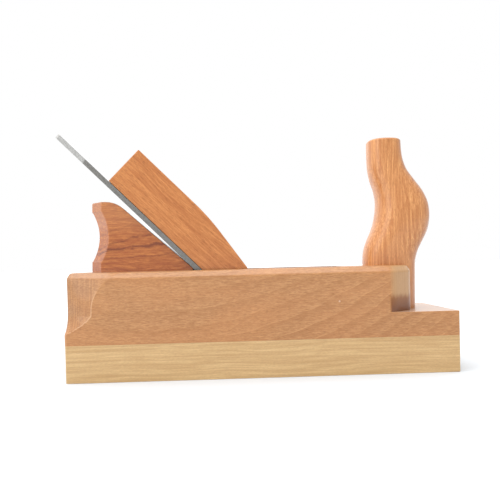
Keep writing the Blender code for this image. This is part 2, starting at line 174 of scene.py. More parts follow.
def round_edges(edited, chosen, width, segments):
    """Bevels the edges of an edit mesh whose two end points pass the test."""
    edges = [edge for edge in edited.edges if chosen(*(vertex.co for vertex in edge.verts))]
    bmesh.ops.bevel(edited, geom=edges, offset=width, segments=segments, profile=0.5, affect="EDGES")


def is_upright(first, second):
    return abs(first.z - second.z) > 1e-4


def combine(obj, mesh, operation):
    """Joins a mesh to the object or cuts it away, and keeps the result as the object's mesh."""
    tool = add_object(obj.name + "_tool", mesh)
    modifier = obj.modifiers.new("combine", "BOOLEAN")
    modifier.operation = operation
    modifier.solver = "EXACT"
    modifier.object = tool
    evaluated = obj.evaluated_get(bpy.context.evaluated_depsgraph_get())
    result = bpy.data.meshes.new_from_object(evaluated)
    obj.modifiers.clear()
    obj.data = result
    bpy.data.objects.remove(tool, do_unlink=True)


def bevel(obj, chosen, width, segments):
    """Bevels an object's edges that pass the test, which is given the edge."""
    edited = bmesh.new()
    edited.from_mesh(obj.data)
    edges = [edge for edge in edited.edges if len(edge.link_faces) == 2 and chosen(edge)]
    bmesh.ops.bevel(edited, geom=edges, offset=width, segments=segments, profile=0.5,
                    affect="EDGES", clamp_overlap=True)
    edited.to_mesh(obj.data)
    edited.free()


def clean(obj):
    """Merges doubled points and dissolves the seams that Booleans leave in flat faces."""
    edited = bmesh.new()
    edited.from_mesh(obj.data)
    bmesh.ops.remove_doubles(edited, verts=edited.verts, dist=0.000002)
    bmesh.ops.dissolve_limit(edited, angle_limit=math.radians(0.05), verts=edited.verts,
                             edges=edited.edges)
    edited.to_mesh(obj.data)
    edited.free()


def finish_piece(obj, material, body, node, smooth_angle=30):
    """Shades a piece, gives it its material and puts it in place of its CAD node."""
    obj.data.shade_smooth()
    obj.data.set_sharp_from_angle(angle=math.radians(smooth_angle))
    weighted = obj.modifiers.new("even_normals", "WEIGHTED_NORMAL")
    weighted.keep_sharp = True
    obj.data.materials.clear()
    obj.data.materials.append(material)
    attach(obj, body)
    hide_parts(node)
    return obj


def smooth_through(knots, value):
    """A smooth curve through (position, value) knots, read at one position."""
    for index in range(len(knots) - 1):
        (start, first), (end, second) = knots[index], knots[index + 1]
        if value > end and index < len(knots) - 2:
            continue
        span = end - start
        before = knots[max(index - 1, 0)]
        after = knots[min(index + 2, len(knots) - 1)]
        slope_in = (second - before[1]) / (end - before[0])
        slope_out = (after[1] - first) / (after[0] - start)
        t = min(max((value - start) / span, 0), 1)
        return ((2 * t ** 3 - 3 * t ** 2 + 1) * first + (t ** 3 - 2 * t ** 2 + t) * span * slope_in
                + (3 * t ** 2 - 2 * t ** 3) * second + (t ** 3 - t ** 2) * span * slope_out)
    return knots[-1][1]


def bend_between(first, control, last, steps):
    """Points on a quadratic curve, used to round a corner."""
    points = []
    for index in range(steps + 1):
        t = index / steps
        points.append(tuple((1 - t) ** 2 * a + 2 * t * (1 - t) * b + t ** 2 * c
                            for a, b, c in zip(first, control, last)))
    return points


def oval_ring(rear, front, half_width, height):
    """A squarish oval between two places along X, at one height."""
    exponent, count = 2.5, 96
    center, half_length = (rear + front) / 2, (front - rear) / 2
    ring = []
    for index in range(count):
        angle = 2 * math.pi * index / count
        cosine, sine = math.cos(angle), math.sin(angle)
        x = center + half_length * math.copysign(abs(cosine) ** (2 / exponent), cosine)
        y = half_width * math.copysign(abs(sine) ** (2 / exponent), sine)
        ring.append((x, y, height))
    return ring


def bed_point(up, off):
    """A point of a side view, given by its distances up the bed and off the bed line."""
    point = UP_BED * up + OFF_BED * off
    return (point.x, point.z)


def bed_x(height):
    """Where the bed, which the iron lies on, passes a height."""
    return (IRON_BACK - GAP - height * math.cos(BED_ANGLE)) / math.sin(BED_ANGLE)


def throat_front_x(height):
    """The throat's front wall: upright at the mouth, leaning towards the toe above it."""
    if height <= MOUTH_LAND:
        return MOUTH_FRONT
    lean = (THROAT_FRONT - MOUTH_FRONT) / (BODY_TOP - MOUTH_LAND)
    return MOUTH_FRONT + (height - MOUTH_LAND) * lean


def wedge_front_off(up):
    """How far the wedge's front stands off the bed line at a place up the bed."""
    return WEDGE_FRONT - max(WEDGE_BEND - up, 0) * math.tan(WEDGE_TAPER)


# ---- body --------------------------------------------------------------------------------------
def scoop_start(height):
    """Where the hollow at the heel leaves the side: it flares towards the toe near the top."""
    rise = max(height - SCOOP_FLARE_BOTTOM, 0) / SCOOP_FLARE_HEIGHT
    return SCOOP_START + SCOOP_FLARE * rise ** 2.3


def body_ring(height, inset):
    """Plan outline of the upper body at one height, with the heel's scoops and the finger cuts.
    The sides are set in as given, and the two ends are rounded over."""
    rounding = max(height - (BODY_TOP - END_ROUNDOVER), 0)
    end_inset = END_ROUNDOVER - math.sqrt(END_ROUNDOVER ** 2 - min(rounding, END_ROUNDOVER) ** 2)
    start = scoop_start(height)
    drop = min(max(COVE_TOP - height, 0), COVE_HEIGHT)
    lift = COVE_RADIUS - math.sqrt(COVE_RADIUS ** 2 - drop ** 2)

    def half(x):
        run = max(start - x, 0) / (start - HEEL)
        depth = max(SCOOP_DEPTH * (0.5 * run + 0.5 * run ** 2) - lift, 0)
        along = min(max((x - FINGER_CUT_START) / (STEP_FRONT - FINGER_CUT_START), 0), 1)
        eased = along ** 2 / (2 * FINGER_BLEND) if along < FINGER_BLEND else along - FINGER_BLEND / 2
        finger = FINGER_CUT_DEPTH * eased / (1 - FINGER_BLEND / 2)
        return HALF_WIDTH - depth - finger - inset

    rear, front = HEEL + end_inset, STEP_FRONT - end_inset
    scoop_rear = rear + HEEL_CORNER
    side = bend_between((rear, half(rear) - HEEL_CORNER), (rear, half(rear)),
                        (scoop_rear, half(scoop_rear)), 5)
    steps = 18
    for index in range(1, steps + 1):
        x = scoop_rear + (start - scoop_rear) * index / steps
        side.append((x, half(x)))
    cut_front = front - FINGER_CORNER
    steps = 16
    for index in range(steps + 1):
        x = FINGER_CUT_START + (cut_front - FINGER_CUT_START) * index / steps
        side.append((x, half(x)))
    side += bend_between((cut_front, half(cut_front)), (front, half(front)),
                         (front, half(front) - FINGER_CORNER), 8)[1:]
    right = [(x, -y, height) for x, y in side]
    left = [(x, y, height) for x, y in reversed(side)]
    return right + left


def body_rings():
    """The upper body's outlines from the glue line up, with the chamfer's softened profile on top."""
    cove_bottom = COVE_TOP - COVE_HEIGHT
    straight_top = BODY_TOP - TOP_EASE
    heights = [GLUE_LINE + HAIR, cove_bottom - 0.0001]
    heights += [cove_bottom + COVE_HEIGHT * index / 14 for index in range(15)]
    heights += [COVE_TOP + (straight_top - COVE_TOP) * index / 12 for index in range(1, 12)]
    turn = TOP_EASE_FLAT - TOP_EASE_TURN
    profile = bend_between((0, -TOP_EASE), (0, -TOP_EASE_FLAT), (turn, -TOP_EASE_TURN), 5)
    profile += bend_between((TOP_EASE_TURN, -turn), (TOP_EASE_FLAT, 0), (TOP_EASE, 0), 5)
    return ([body_ring(height, 0) for height in heights]
            + [body_ring(BODY_TOP + drop, inset) for inset, drop in profile])


def toe_step():
    """The lower block that carries the deck and reaches to the toe."""
    step = block((STEP_REAR, -HALF_WIDTH, GLUE_LINE + HAIR), (TOE, HALF_WIDTH, DECK_TOP))
    round_edges(step, lambda a, b: is_upright(a, b) and min(a.x, b.x) > TOE - 1e-6, CORNER_CHAMFER, 2)
    round_edges(step, lambda a, b: min(a.z, b.z) > DECK_TOP - 1e-6, 0.0005, 3)
    return mesh_from(step, "step")


def cut_throat(body):
    """The bed with its abutments, and between these the opening that the shavings rise through."""
    bottom, top = -0.045, 0.110
    seat = [bed_point(bottom, IRON_BACK - GAP), bed_point(top, IRON_BACK - GAP),
            bed_point(top, wedge_front_off(top) + GAP), bed_point(WEDGE_BEND, WEDGE_FRONT + GAP),
            bed_point(bottom, wedge_front_off(bottom) + GAP)]
    combine(body, side_prism("seat", seat, THROAT_WIDTH), "DIFFERENCE")
    low_z, high_z = MOUTH_LAND - 0.004, BODY_TOP + 0.03
    shavings = [(throat_front_x(low_z), low_z), (throat_front_x(MOUTH_LAND), MOUTH_LAND),
                (throat_front_x(high_z), high_z), bed_point(0.13, IRON_FACE), bed_point(-0.02, IRON_FACE)]
    combine(body, side_prism("shavings", shavings, THROAT_WIDTH - 2 * ABUTMENT_WIDTH), "DIFFERENCE")


def make_body(material):
    body = add_object("beech_body", loft("beech_body", body_rings()))
    combine(body, toe_step(), "UNION")
    cut_throat(body)
    socket = [oval_ring(HORN_REAR - HAIR, HORN_FRONT + HAIR, HORN_BASE_HALF_WIDTH + HAIR, height)
              for height in (DECK_TOP, BODY_TOP + 0.01)]
    combine(body, loft("socket", socket), "DIFFERENCE")
    clean(body)

    def throat_rim(edge):
        flat = all(v.co.z > BODY_TOP - 1e-5 for v in edge.verts)
        inside = all(-0.06 < v.co.x < THROAT_FRONT + 1e-4 and abs(v.co.y) < THROAT_WIDTH / 2 + 1e-4
                     for v in edge.verts)
        return flat and inside and edge.calc_face_angle(0) > 0.5

    bevel(body, throat_rim, 0.0002, 2)
    return finish_piece(body, material, "plane_body", "body_block")


# ---- sole --------------------------------------------------------------------------------------
def make_sole(material):
    plate = block(SOLE_LOW, (SOLE_HIGH.x, SOLE_HIGH.y, GLUE_LINE - HAIR))
    round_edges(plate, is_upright, CORNER_CHAMFER, 2)
    round_edges(plate, lambda a, b: max(a.z, b.z) < 1e-6, 0.0004, 2)
    sole = add_object("hornbeam_sole", mesh_from(plate, "hornbeam_sole"))
    low_z, high_z = -0.002, SOLE_HIGH.z + 0.01
    mouth = [(bed_x(low_z), low_z), (bed_x(high_z), high_z), (throat_front_x(high_z), high_z),
             (MOUTH_FRONT, MOUTH_LAND), (MOUTH_FRONT, low_z)]
    combine(sole, side_prism("mouth", mouth, THROAT_WIDTH), "DIFFERENCE")
    clean(sole)
    return finish_piece(sole, material, "plane_body", "sole")


# ---- horn --------------------------------------------------------------------------------------
# Each line is knots of (height, place along X, or half width), which a smooth curve passes through.
HORN_REAR_LINE = [(0.038, HORN_REAR), (0.066, HORN_REAR), (0.076, 0.0694), (0.083, 0.0718), (0.090, 0.0749),
                  (0.098, 0.0771), (0.108, 0.0780), (0.116, 0.0767), (0.1226, 0.0745), (0.130, 0.0731),
                  (0.138, 0.0727), (HORN_TOP, 0.0727)]
HORN_FRONT_LINE = [(0.038, HORN_FRONT), (0.060, 0.1017), (0.068, 0.1024), (0.0755, 0.1043), (0.082, 0.1075),
                   (0.0886, 0.1106), (0.0955, 0.1120), (0.102, 0.1121), (0.1086, 0.1108), (0.1153, 0.1075),
                   (0.122, 0.1026), (0.1288, 0.0978), (0.1354, 0.0953), (0.142, 0.0943), (HORN_TOP, 0.0940)]
HORN_HALF_WIDTH_LINE = [(0.038, HORN_BASE_HALF_WIDTH), (0.066, HORN_BASE_HALF_WIDTH), (0.098, 0.0155),
                        (0.128, 0.0124), (HORN_TOP, 0.0120)]


def make_horn(material):
    levels, round_top = 110, 0.0014
    bottom = DECK_TOP + HAIR
    knee = BODY_TOP + 0.002
    top = HORN_TOP
    heights = [bottom, knee]
    heights += [knee + (top - round_top - knee) * index / levels for index in range(1, levels + 1)]
    rings = []
    for height in heights:
        rear = smooth_through(HORN_REAR_LINE, height)
        front = smooth_through(HORN_FRONT_LINE, height)
        half_width = smooth_through(HORN_HALF_WIDTH_LINE, height)
        rings.append(oval_ring(rear, front, half_width, height))
    for angle in range(10, 91, 10):
        inset = round_top * (1 - math.cos(math.radians(angle)))
        height = top - round_top + round_top * math.sin(math.radians(angle))
        rings.append(oval_ring(rear + inset, front - inset, half_width - inset, height))
    horn = add_object("carved_horn", loft("carved_horn", rings))
    return finish_piece(horn, material, "plane_body", "front_horn", 50)


# ---- hand rest ---------------------------------------------------------------------------------
def rest_outline(set_in):
    """Side view: hollow back between two lips, rounded top, front sloping down behind the iron.
    The rear is set in by the given amount."""
    bottom, top = BODY_TOP + HAIR, REST_HIGH.z + 0.0001
    low_lip, high_lip, hollow, lip_step = 0.0732, 0.1032, 0.0040, 0.0006

    def rear(height):
        return REST_LOW.x + set_in - 0.0004 + 0.0012 * (height - bottom) / (top - bottom)

    points = [(rear(bottom), bottom), (rear(low_lip - lip_step), low_lip - lip_step)]
    steps = 24
    for index in range(steps + 1):
        t = index / steps
        depth = lip_step + hollow * (1 - (2 * t - 1) ** 2)
        height = low_lip + (high_lip - low_lip) * t
        points.append((rear(height) + depth, height))
    points += [(rear(high_lip), high_lip + lip_step), (rear(top), top - 0.0005), (rear(top) + 0.0005, top)]
    for index in range(13):
        angle = REST_SLOPE * index / 12
        points.append((REST_NOSE_START + REST_NOSE_RADIUS * math.sin(angle),
                       top - REST_NOSE_RADIUS * (1 - math.cos(angle))))
    last_x, last_z = points[-1]
    toe = 0.0014
    front = last_x + (last_z - bottom - toe) / math.tan(REST_SLOPE)
    points += [(front, bottom + toe), (front, bottom)]
    return points


def make_rest(material):
    """The outline swept across, with a broad 45 degree chamfer on both upright rear edges."""
    half = REST_HIGH.y
    soft = 0.0012
    turn = half - REST_CHAMFER
    slices = [(half, REST_CHAMFER), (turn + soft, soft), (turn + soft * 0.45, soft * 0.33),
              (turn - soft * 0.2, soft * 0.06), (turn - soft, 0)]
    rings = []
    for side in (-1, 1):
        ordered = slices if side < 0 else reversed(slices)
        rings += [[(x, side * y, z) for x, z in rest_outline(set_in)] for y, set_in in ordered]
    rest = add_object("hollow_hand_rest", loft("hollow_hand_rest", rings))

    def side_rim(edge):
        return (edge.calc_face_angle(0) > math.radians(30)
                and all(abs(v.co.y) > half - 1e-6 and v.co.z > BODY_TOP + 0.0005 for v in edge.verts))

    bevel(rest, side_rim, 0.0005, 2)
    return finish_piece(rest, material, "plane_body", "hand_rest", 25)


# ---- iron and wedge ----------------------------------------------------------------------------
def lay_on_bed(mesh, off):
    """Turns a mesh drawn with +X up the bed and +Z off it into the frame."""
    turn = Matrix((UP_BED, Vector((0, -1, 0)), OFF_BED)).transposed().to_4x4()
    mesh.transform(Matrix.Translation(OFF_BED * off) @ turn)


def up_bed_of(x, z):
    """How far up the bed a point of the side view lies."""
    return Vector((x, 0, z)).dot(UP_BED)


IRON_TOP = up_bed_of(IRON_LOW.x, IRON_HIGH.z - IRON_THICKNESS * math.cos(BED_ANGLE))


def make_iron(material):
    edge = up_bed_of(IRON_HIGH.x, IRON_LOW.z)
    half = IRON_HIGH.y
    clip = IRON_CORNER
    outline = [(edge, -half), (IRON_TOP - clip, -half), (IRON_TOP, -half + clip),
               (IRON_TOP, half - clip), (IRON_TOP - clip, half), (edge, half)]
    mesh = plan_prism("plane_iron", outline, 0, IRON_THICKNESS)
    bevel_length = (IRON_THICKNESS - 0.0002) / math.tan(IRON_BEVEL)
    for vertex in mesh.vertices:
        if vertex.co.x < edge + 1e-5 and vertex.co.z < IRON_THICKNESS / 2:
            vertex.co.x = edge + bevel_length
    iron = add_object("plane_iron", mesh)

    def away_from_edge(found):
        return all(v.co.x > edge + 0.02 for v in found.verts)

    bevel(iron, away_from_edge, 0.00025, 2)
    lay_on_bed(iron.data, IRON_BACK)
    return finish_piece(iron, material, "iron", "cutting_iron")


def make_wedge(material):
    top, tip, blunt = WEDGE_TOP, WEDGE_TIP, 0.006
    tip_off = WEDGE_THICKNESS - (WEDGE_BEND - tip) * math.tan(WEDGE_TAPER)
    bend = 0.012
    outline = [(tip, 0), (top, 0), (top, WEDGE_THICKNESS)]
    outline += bend_between((WEDGE_BEND + bend, WEDGE_THICKNESS), (WEDGE_BEND, WEDGE_THICKNESS),
                            (WEDGE_BEND - bend, WEDGE_THICKNESS - bend * math.tan(WEDGE_TAPER)), 10)
    outline += [(tip + blunt, tip_off + blunt * math.tan(WEDGE_TAPER)), (tip, tip_off - blunt * 0.7)]
    wedge = add_object("forked_wedge", side_prism("forked_wedge", outline, WEDGE_HIGH.y - WEDGE_LOW.y))
    inner = (WEDGE_HIGH.y - WEDGE_LOW.y) / 2 - WEDGE_LEG_WIDTH
    arch = []
    for index in range(25):
        angle = math.radians(90) - math.radians(180) * index / 24
        arch.append((WEDGE_CROTCH - inner * 0.6 + inner * 0.6 * math.cos(angle), inner * math.sin(angle)))
    fork = [(tip - 0.01, inner)] + arch + [(tip - 0.01, -inner)]
    combine(wedge, plan_prism("fork", fork, -0.01, 0.05), "DIFFERENCE")
    clean(wedge)

    def sharp(edge):
        return edge.calc_face_angle(0) > math.radians(30)

    bevel(wedge, sharp, 0.0005, 3)
    lay_on_bed(wedge.data, WEDGE_BACK)
    return finish_piece(wedge, material, "wedge", "wedge")


# ---- materials ---------------------------------------------------------------------------------
OIL_COAT = 0.5                                  # thin oil finish on all woods but the hand rest
OIL_ROUGHNESS = 0.16
GRAIN_TURN = {"length": 0, "up": 90, "bed": 135}          # degrees about Y that lay the grain on X
GRAIN_AXIS = {"length": Vector((1, 0, 0)), "up": Vector((0, 0, 1)), "bed": UP_BED}


def linear(red, green, blue):
    """A colour given as 0-255 screen values, as Blender's linear numbers."""
    return tuple(((v / 255 + 0.055) / 1.055) ** 2.4 if v > 10 else v / 255 / 12.92
                 for v in (red, green, blue))


class Nodes:
    """Short names for building a shader's node tree."""

    def __init__(self, name):
        self.material = bpy.data.materials.new(name)
        self.material.use_nodes = True
        self.tree = self.material.node_tree
        self.shader = self.tree.nodes["Principled BSDF"]
        coordinates = self.add("TexCoord")
        self.point, self.normal = coordinates.outputs["Object"], coordinates.outputs["Normal"]

    def add(self, kind, **settings):
        node = self.tree.nodes.new("ShaderNode" + kind)
        for key, value in settings.items():
            setattr(node, key, value)
        return node

    def link(self, source, target):
        self.tree.links.new(source, target)

    def put(self, socket, value):
        if isinstance(value, bpy.types.NodeSocket):
            self.link(value, socket)
        else:
            socket.default_value = value

    def math(self, operation, first, second=0.0, clamp=False):
        node = self.add("Math", operation=operation, use_clamp=clamp)
        self.put(node.inputs[0], first)
        self.put(node.inputs[1], second)
        return node.outputs[0]

    def product(self, first, *others):
        for other in others:
            first = self.math("MULTIPLY", first, other)
        return first

    def vector(self, operation, first, second=(0, 0, 0)):
        node = self.add("VectorMath", operation=operation)
        self.put(node.inputs[0], first)
        self.put(node.inputs[1], second)
        return node.outputs["Value" if operation in ("LENGTH", "DISTANCE", "DOT_PRODUCT") else "Vector"]

    def split(self, vector):
        node = self.add("SeparateXYZ")
        self.link(vector, node.inputs["Vector"])
        return node.outputs["X"], node.outputs["Y"], node.outputs["Z"]

    def facing(self, axis):
        """How far the surface faces along an axis, either way."""
        return self.math("ABSOLUTE", self.vector("DOT_PRODUCT", self.normal, axis))

    def noise(self, vector, detail, roughness, color=False):
        node = self.add("TexNoise")
        self.put(node.inputs["Vector"], vector)
        for key, number in (("Scale", 1.0), ("Detail", detail), ("Roughness", roughness)):
            node.inputs[key].default_value = number
        return node.outputs["Color" if color else "Fac"]

    def noise_over(self, scales, detail, roughness):
        """Noise over the object, with its own scale along each axis."""
        return self.noise(self.vector("MULTIPLY", self.point, scales), detail, roughness)

    def between(self, value, low, high, out_low=0.0, out_high=1.0):
        """Carries a value from one range to another by a soft step."""
        node = self.add("MapRange", clamp=True, interpolation_type="SMOOTHSTEP")
        self.put(node.inputs["Value"], value)
        for key, number in (("From Min", low), ("From Max", high), ("To Min", out_low), ("To Max", out_high)):
            node.inputs[key].default_value = number
        return node.outputs["Result"]

    def mix(self, factor, first, second, blend="MIX"):
        node = self.add("Mix", data_type="RGBA", blend_type=blend)
        self.put(node.inputs[0], factor)
        for socket, value in ((node.inputs[6], first), (node.inputs[7], second)):
            self.put(socket, (*value, 1.0) if isinstance(value, tuple) and len(value) == 3 else value)
        return node.outputs[2]

    def bump(self, height, strength, distance):
        node = self.add("Bump")
        node.inputs["Strength"].default_value = strength
        node.inputs["Distance"].default_value = distance
        self.link(height, node.inputs["Height"])
        self.link(node.outputs["Normal"], self.shader.inputs["Normal"])


def grain_space(n, grain, seed, wander):
    """The object's points in millimetres with the grain along X, plain and with the grain's waver."""
    turned = n.add("Mapping", vector_type="POINT")
    n.link(n.vector("MULTIPLY", n.point, (1000, 1000, 1000)), turned.inputs["Vector"])
    turned.inputs["Rotation"].default_value = (0, math.radians(GRAIN_TURN[grain]), 0)
    straight = turned.outputs["Vector"]
    shifted = n.vector("ADD", straight, Vector((seed * 137.0, 0, 0)))
    waver = n.noise(n.vector("MULTIPLY", shifted, (0.011, 0.030, 0.030)), 2.0, 0.5, color=True)
    waver = n.vector("MULTIPLY", n.vector("SUBTRACT", waver, (0.5, 0.5, 0.5)), (0, wander * 2, wander * 2))
    return straight, n.vector("ADD", shifted, waver)


def growth_rings(n, straight, wavy, stretched, pith, look):
    """Masks of the rings' dark late wood and of the thin pale seams that follow it."""
    across = n.vector("MULTIPLY", n.vector("SUBTRACT", wavy, (0, *pith)), (0, 1, 1))
    radius = n.vector("LENGTH", across)
    along = n.vector("DOT_PRODUCT", straight, (1, 0, 0))
    lean = n.math("ADD", n.math("MULTIPLY", along, look["ring_curve"]), look["ring_taper"])
    phase = n.math("DIVIDE", n.math("ADD", radius, n.math("MULTIPLY", along, lean)), look["ring_spacing"])
    uneven = n.noise(stretched(250, 11), 1.0, 0.5)
    rings = n.math("FRACT", n.math("ADD", phase, n.math("MULTIPLY", uneven, look["ring_waver"])))
    plainer = n.between(along, -90.0, 60.0, 1 - look["heel_fade"], 1.0)

    late = n.math("SUBTRACT", n.between(rings, 0.20, 0.86), n.between(rings, 0.88, 0.96), clamp=True)
    patchy = n.between(n.noise(stretched(60, 14), 2.0, 0.5), 0.35, 0.60, 1 - look["patch_depth"], 1.0)
    seam = n.product(n.between(rings, 0.90, 0.96), n.between(rings, 0.97, 1.0, 1.0, 0.0),
                     n.between(n.noise(stretched(90, 16), 2.0, 0.5), 0.46, 0.60), plainer)
    return n.product(late, patchy, plainer), seam


def ray_flecks(n, stretched, look):
    """The short dark lens-shaped flecks of beech."""
    flecks = n.add("TexVoronoi", feature="F1", distance="EUCLIDEAN")
    n.link(stretched(look["fleck_length"], look["fleck_width"]), flecks.inputs["Vector"])
    flecks.inputs["Scale"].default_value = 1.0
    chance = n.add("SeparateColor")
    n.link(flecks.outputs["Color"], chance.inputs["Color"])
    return n.product(n.between(flecks.outputs["Distance"], 0.10, 0.42, 1.0, 0.0),
                     n.between(chance.outputs["Red"], 0.35, 0.80))


def worn_edges(n):
    """Mask of the edges, where the surface bends within a millimetre."""
    rounded = n.add("Bevel", samples=4)
    rounded.inputs["Radius"].default_value = 0.0009
    true_normal = n.add("NewGeometry").outputs["True Normal"]
    bend = n.vector("DOT_PRODUCT", rounded.outputs["Normal"], true_normal)
    return n.between(bend, 0.90, 0.995, 1.0, 0.0)


def wood(name, grain, light, dark, seed, pith, extra=None, **changes):
    """A solid wood in the piece's own space: growth rings, fibres, ray flecks, end grain and worn edges.

    Lengths are millimetres. The pith is where the rings' centre line passes, across the grain.
    The extra function, where there is one, adds the marks, and the painted light and shade, of that one
    piece."""
    look = {"ring_spacing": 3.4, "ring_taper": 0.0, "ring_curve": 0.0, "ring_depth": 0.30,
            "ring_waver": 1.2, "patch_depth": 0.65, "seam_depth": 0.2, "heel_fade": 0.0, "wander": 5.0,
            "fibre_length": 6.0, "fibre_width": 0.8, "fibre_depth": 0.55,
            "streak_length": 60.0, "streak_width": 2.2, "streak_depth": 0.25,
            "fleck_length": 3.4, "fleck_width": 0.75, "fleck_depth": 0.30,
            "tint": light, "tint_depth": 0.0, "end_depth": 0.9,
            "coat": OIL_COAT, "coat_roughness": OIL_ROUGHNESS}
    look.update(changes)
    n = Nodes(name)
    straight, wavy = grain_space(n, grain, seed, look["wander"])

    def stretched(length, width):
        return n.vector("MULTIPLY", wavy, (1 / length, 1 / width, 1 / width))

    late, seam = growth_rings(n, straight, wavy, stretched, pith, look)
    fleck = ray_flecks(n, stretched, look)
    fibres = n.noise(stretched(look["fibre_length"], look["fibre_width"]), 4.0, 0.62)
    streaks = n.noise(stretched(look["streak_length"], look["streak_width"]), 3.0, 0.55)
    pores = n.noise(stretched(1.6, 0.28), 2.0, 0.6)
    broad = n.noise(stretched(70, 24), 2.0, 0.5)

    middle = tuple((a + b) / 2 for a, b in zip(light, dark))
    deepest = tuple(c * 0.60 for c in dark)
    tone = n.mix(look["fibre_depth"], middle, n.mix(n.between(fibres, 0.30, 0.70), dark, light))
    for mask, depth, color in ((n.between(streaks, 0.40, 0.68), "streak_depth", dark),
                               (late, "ring_depth", dark),
                               (seam, "seam_depth", light),
                               (n.between(broad, 0.38, 0.64), "tint_depth", look["tint"]),
                               (fleck, "fleck_depth", deepest)):
        tone = n.mix(n.math("MULTIPLY", mask, look[depth]), tone, color)
    tone = n.mix(n.between(pores, 0.36, 0.62, 0.24, 0.0), tone, deepest)

    end = n.between(n.facing(GRAIN_AXIS[grain]), 0.45, 0.95)
    rays = n.noise(n.vector("MULTIPLY", wavy, (0.3, 1.8, 1.8)), 3.0, 0.7)
    end_tone = n.mix(1.0, tone, (0.80, 0.77, 0.74), "MULTIPLY")
    end_tone = n.mix(n.math("MULTIPLY", late, 0.5), end_tone, dark)
    end_tone = n.mix(n.between(rays, 0.42, 0.66, 0.0, 0.55), end_tone, deepest)
    tone = n.mix(n.math("MULTIPLY", end, look["end_depth"]), tone, end_tone)
    if extra:
        tone = extra(n, tone)
    worn = n.product(worn_edges(n), n.between(streaks, 0.35, 0.60), 0.35)
    n.link(n.mix(worn, tone, light), n.shader.inputs["Base Color"])

    relief = n.math("SUBTRACT", n.math("MULTIPLY", fibres, 0.7), n.math("MULTIPLY", fleck, 0.5))
    n.bump(n.math("ADD", relief, n.math("MULTIPLY", pores, 0.5)), 0.30, 0.00008)
    uneven_gloss = n.math("MULTIPLY", n.math("ADD", fibres, end), 0.14)
    n.link(n.math("ADD", uneven_gloss, 0.38), n.shader.inputs["Roughness"])
    n.shader.inputs["Specular IOR Level"].default_value = 0.3
    n.shader.inputs["Coat Weight"].default_value = look["coat"]
    n.shader.inputs["Coat Roughness"].default_value = look["coat_roughness"]
    n.shader.inputs["Coat IOR"].default_value = 1.5
    return n.material


# Marks of single pieces, and painted light and shade: each function takes the wood's tone and returns it with
# these added.
def body_marks(n, tone):
    tone = cutter_marks_and_painted_light(n, tone)
    tone = small_nick(n, tone)
    tone = finger_cut_dark_patch(n, tone)
    return deck_highlight_and_throat_shade(n, tone)


def cutter_marks_and_painted_light(n, tone):
    """Upright cutter marks in the heel's hollows and the finger cuts; a grey-beige tint on the finger cuts'
    walls, partly burnished wood and partly painted reflection; and a painted highlight along the hollows'
    crests.
    """
    along, _, height = n.split(n.point)
    slant = n.facing((1, 0, 0))
    above_cove = n.between(height, 0.0285, 0.0320)
    marks = n.between(n.noise_over((1000, 30, 16), 2.0, 0.5), 0.35, 0.65)
    marked = n.mix(marks, n.mix(1.0, tone, (0.76, 0.73, 0.68), "MULTIPLY"),
                   n.mix(1.0, tone, (0.98, 0.98, 0.97), "MULTIPLY"))
    at_heel = n.product(n.between(slant, 0.16, 0.25), n.between(slant, 0.80, 0.95, 1.0, 0.0), above_cove,
                        n.between(along, -0.01, 0.0, 0.85, 0.0))
    # grey-beige finger cut walls: partly burnished wood, partly a painted reflection of the white room on the
    # walls turned towards the toe
    at_toe = n.product(above_cove, n.between(slant, 0.05, 0.20),
                       n.between(along, FINGER_CUT_START - 0.0005, FINGER_CUT_START + 0.0045, 0.0, 0.8))
    tone = n.mix(at_heel, tone, marked)
    tone = n.mix(at_toe, tone, n.mix(marks, linear(180, 138, 92), linear(186, 146, 100)))
    # painted highlight: a pale line along the crest where the heel's hollows leave the sides
    crest_highlight = n.product(n.between(slant, 0.015, 0.06), n.between(slant, 0.18, 0.25, 1.0, 0.0),
                      n.between(height, 0.0500, 0.0580, 1.0, 0.0),
                      n.between(along, -0.01, 0.0, 0.30, 0.0))
    return n.mix(crest_highlight, tone, linear(236, 196, 158))


def small_nick(n, tone):
    """One pale nick in the right side, below the throat's front."""
    nick = n.vector("DISTANCE", n.point, (0.0459, -HALF_WIDTH, 0.0453))
    return n.mix(n.between(nick, 0.0003, 0.0008, 0.4, 0.0), tone, linear(240, 214, 190))


def finger_cut_dark_patch(n, tone):
    """A ragged dark brown patch low in the finger cuts, darkest next to the deck."""
    along, across, height = n.split(n.point)
    ragged = n.noise_over((420, 420, 160), 2.0, 0.6)
    ragged_height = n.math("ADD", height, n.math("MULTIPLY", ragged, 0.0036))
    ragged_start = n.math("ADD", along, n.math("MULTIPLY", ragged, 0.001))
    # dark brown low on the finger cuts' walls, just above the deck, darker towards the bottom
    mask = n.product(n.between(ragged_height, FINGER_DARK_TOP, FINGER_DARK_TOP + 0.0040, 1.0, 0.0),
                     n.between(height, DECK_TOP + 0.00005, DECK_TOP + 0.0002),
                     n.between(ragged_start, FINGER_CUT_START + 0.0006, FINGER_CUT_START + 0.0024),
                     n.between(along, STEP_FRONT - 0.0015, STEP_FRONT - 0.0003, 1.0, 0.0),
                     n.between(n.math("ABSOLUTE", across), 0.0180, 0.0200), 0.90)
    dark_brown = n.mix(n.between(height, DECK_TOP, 0.0480), linear(98, 44, 2), linear(132, 74, 14))
    return n.mix(mask, tone, dark_brown)


